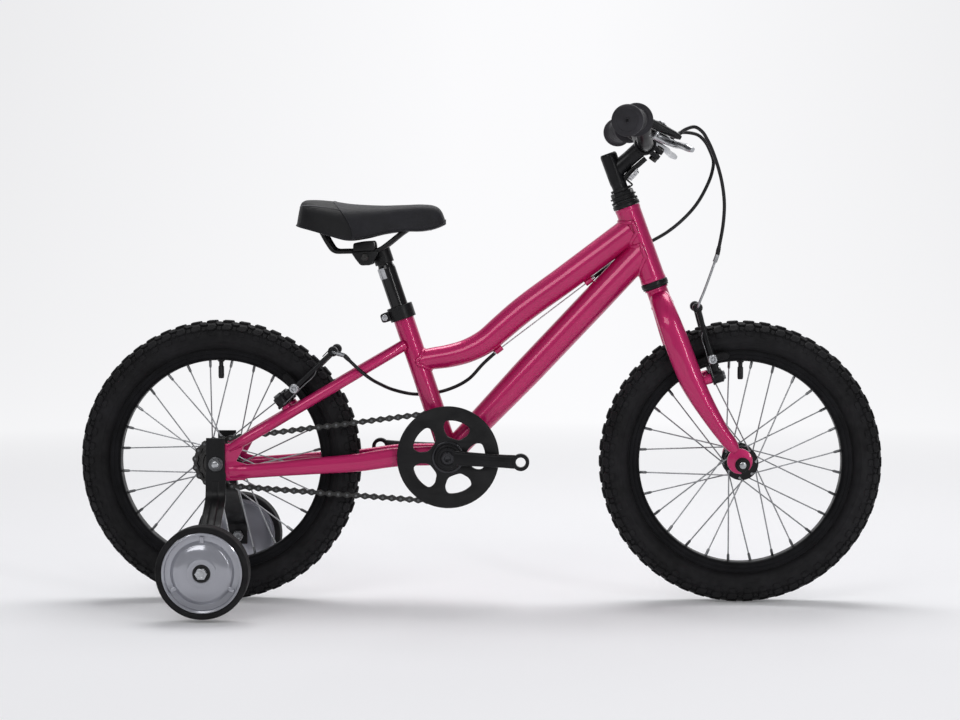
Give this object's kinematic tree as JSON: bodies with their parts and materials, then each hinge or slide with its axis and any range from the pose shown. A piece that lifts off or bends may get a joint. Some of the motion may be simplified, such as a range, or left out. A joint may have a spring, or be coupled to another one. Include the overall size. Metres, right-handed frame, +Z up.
{
  "type": "children's bicycle with stabilisers",
  "caption": "Child's bicycle with low curved top tube, knobbly tyres, rim brakes, chain drive with guard disc, flat saddle and two outrigger wheels.",
  "frame": {"origin": "on the ground, midway between the front and rear axles, in the middle plane of the wheels", "axes": "+X forwards along the bicycle, +Y to the rider's left, +Z up"},
  "size_m": [1.148, 0.5118, 0.7082],
  "materials": {
    "raspberry_paint": "gloss pearl raspberry paint over welded alloy tube",
    "black_alloy": "black anodised or painted alloy, satin",
    "black_steel": "black painted steel, satin",
    "bright_steel": "zinc plated or polished steel",
    "spoke_steel": "plain spoke wire and hub shell",
    "chain_steel": "oiled dark steel",
    "black_plastic": "moulded black plastic",
    "smoky_plastic": "translucent grey moulded plastic",
    "cable_housing": "black cable housing",
    "reflector_white": "clear prismatic lens over white",
    "tyre_rubber": "black rubber with moulded knobs",
    "grip_rubber": "charcoal soft rubber",
    "pad_rubber": "black brake rubber",
    "saddle_vinyl": "black grained vinyl"
  },
  "bodies": {
    "frame": {"frame": "raspberry_paint", "seat_collar": "black_alloy", "bottom_bracket": "black_steel", "chain": "chain_steel", "rear_axle": "bright_steel", "rear_axle_nut_right": "black_steel", "rear_axle_nut_left": "black_steel", "headset_lower_cup": "black_alloy", "headset_upper_cup": "black_alloy", "stabiliser_bracket_right": "black_steel", "stabiliser_bracket_left": "black_steel", "rear_brake_cable": "cable_housing"},
    "steer": {"fork": "raspberry_paint", "headset_locknut": "black_alloy", "stem": "black_alloy", "handlebar": "black_alloy", "grip_right": "grip_rubber", "grip_left": "grip_rubber", "brake_lever_bracket_right": "black_plastic", "brake_lever_bracket_left": "black_plastic", "front_axle": "bright_steel", "front_axle_nut_right": "black_steel", "front_axle_nut_left": "black_steel", "front_reflector": "reflector_white", "front_brake_housing": "cable_housing", "rear_brake_front_housing": "cable_housing"},
    "front_wheel": {"front_tyre": "tyre_rubber", "front_rim": "black_alloy", "front_hub": "spoke_steel", "front_valve": "black_plastic"},
    "rear_wheel": {"rear_tyre": "tyre_rubber", "rear_rim": "black_alloy", "rear_hub": "spoke_steel", "rear_valve": "black_plastic"},
    "freewheel": {"freewheel": "chain_steel"},
    "crank": {"crank_arm_right": "black_alloy", "crank_arm_left": "black_alloy", "crank_spindle": "black_steel", "chainring": "black_steel", "chain_guard": "black_steel"},
    "seatpost": {"seatpost": "black_alloy", "saddle_clamp": "black_steel"},
    "saddle": {"saddle_clamp_caps": "black_steel", "saddle_rails": "bright_steel", "saddle_base": "black_plastic", "saddle_cover": "saddle_vinyl"},
    "stabiliser_wheel_right": {"stabiliser_disc_right": "smoky_plastic", "stabiliser_tyre_right": "tyre_rubber"},
    "stabiliser_wheel_left": {"stabiliser_disc_left": "smoky_plastic", "stabiliser_tyre_left": "tyre_rubber"},
    "brake_lever_right": {"brake_lever_right": "bright_steel"},
    "brake_lever_left": {"brake_lever_left": "bright_steel"},
    "front_brake_arm_right": {"front_brake_arm_right": "black_alloy", "front_brake_pad_right": "pad_rubber"},
    "front_brake_arm_left": {"front_brake_arm_left": "black_alloy", "front_brake_pad_left": "pad_rubber"},
    "rear_brake_arm_right": {"rear_brake_arm_right": "black_alloy", "rear_brake_pad_right": "pad_rubber"},
    "rear_brake_arm_left": {"rear_brake_arm_left": "black_alloy", "rear_brake_pad_left": "pad_rubber"}
  },
  "joints": [
    {"name": "steering", "type": "hinge", "parent": "frame", "child": "steer", "pos_m": [0.24834, 0, 0.4602], "axis": [-0.342, 0, 0.9397], "range_deg": [-60, 60], "deforming": ["rear_brake_front_housing"]},
    {"name": "front_wheel_turn", "type": "hinge", "parent": "steer", "child": "front_wheel", "pos_m": [0.3725, 0, 0.2024], "axis": [0, 1, 0], "continuous": true},
    {"name": "rear_wheel_turn", "type": "hinge", "parent": "frame", "child": "rear_wheel", "pos_m": [-0.3725, 0, 0.2024], "axis": [0, 1, 0], "continuous": true},
    {"name": "crank_turn", "type": "hinge", "parent": "frame", "child": "crank", "pos_m": [-0.04403, 0, 0.2114], "axis": [0, 1, 0], "continuous": true, "deforming": ["chain"]},
    {"name": "freewheel_turn", "type": "hinge", "parent": "frame", "child": "freewheel", "pos_m": [-0.3725, 0, 0.2024], "axis": [0, 1, 0], "continuous": true},
    {"name": "seatpost_height", "type": "slide", "parent": "frame", "child": "seatpost", "axis": [-0.319, 0, 0.9478], "range_m": [-0.038, 0.03]},
    {"name": "saddle_tilt", "type": "hinge", "parent": "seatpost", "child": "saddle", "pos_m": [-0.163, 0, 0.4945], "axis": [0, 1, 0], "range_deg": [-15, 15]},
    {"name": "stabiliser_wheel_right_turn", "type": "hinge", "parent": "frame", "child": "stabiliser_wheel_right", "pos_m": [-0.3725, -0.184, 0.0685], "axis": [0, 1, 0], "continuous": true},
    {"name": "stabiliser_wheel_left_turn", "type": "hinge", "parent": "frame", "child": "stabiliser_wheel_left", "pos_m": [-0.3725, 0.184, 0.0685], "axis": [0, 1, 0], "continuous": true},
    {"name": "brake_lever_right_pull", "type": "hinge", "parent": "steer", "child": "brake_lever_right", "pos_m": [0.24911, -0.116, 0.6719], "axis": [-0.454, 0, -0.891], "range_deg": [0, 20], "stiffness_Nm_per_rad": 0.6, "springref_deg": -17.19, "deforming": ["front_brake_housing"]},
    {"name": "brake_lever_left_pull", "type": "hinge", "parent": "steer", "child": "brake_lever_left", "pos_m": [0.24911, 0.116, 0.6719], "axis": [0.454, 0, 0.891], "range_deg": [0, 20], "stiffness_Nm_per_rad": 0.6, "springref_deg": -17.19, "deforming": ["rear_brake_cable"]},
    {"name": "front_brake_arm_right_swing", "type": "hinge", "parent": "steer", "child": "front_brake_arm_right", "pos_m": [0.33694, -0.04, 0.3264], "axis": [-0.9613, 0, -0.2756], "range_deg": [0, 3.3]},
    {"name": "front_brake_arm_left_swing", "type": "hinge", "parent": "steer", "child": "front_brake_arm_left", "pos_m": [0.33694, 0.04, 0.3264], "axis": [0.9613, 0, 0.2756], "range_deg": [0, 3.3]},
    {"name": "rear_brake_arm_right_swing", "type": "hinge", "parent": "frame", "child": "rear_brake_arm_right", "pos_m": [-0.28114, -0.04, 0.29062], "axis": [-0.6225, 0, 0.7826], "range_deg": [0, 3.3]},
    {"name": "rear_brake_arm_left_swing", "type": "hinge", "parent": "frame", "child": "rear_brake_arm_left", "pos_m": [-0.28114, 0.04, 0.29062], "axis": [0.6225, 0, -0.7826], "range_deg": [0, 3.3]}
  ],
  "couplings": [
    {"joint": "freewheel_turn", "follows": "crank_turn", "ratio": 2},
    {"joint": "front_brake_arm_right_swing", "follows": "brake_lever_right_pull", "ratio": 0.16},
    {"joint": "front_brake_arm_left_swing", "follows": "brake_lever_right_pull", "ratio": 0.16},
    {"joint": "rear_brake_arm_right_swing", "follows": "brake_lever_left_pull", "ratio": 0.16},
    {"joint": "rear_brake_arm_left_swing", "follows": "brake_lever_left_pull", "ratio": 0.16}
  ]
}
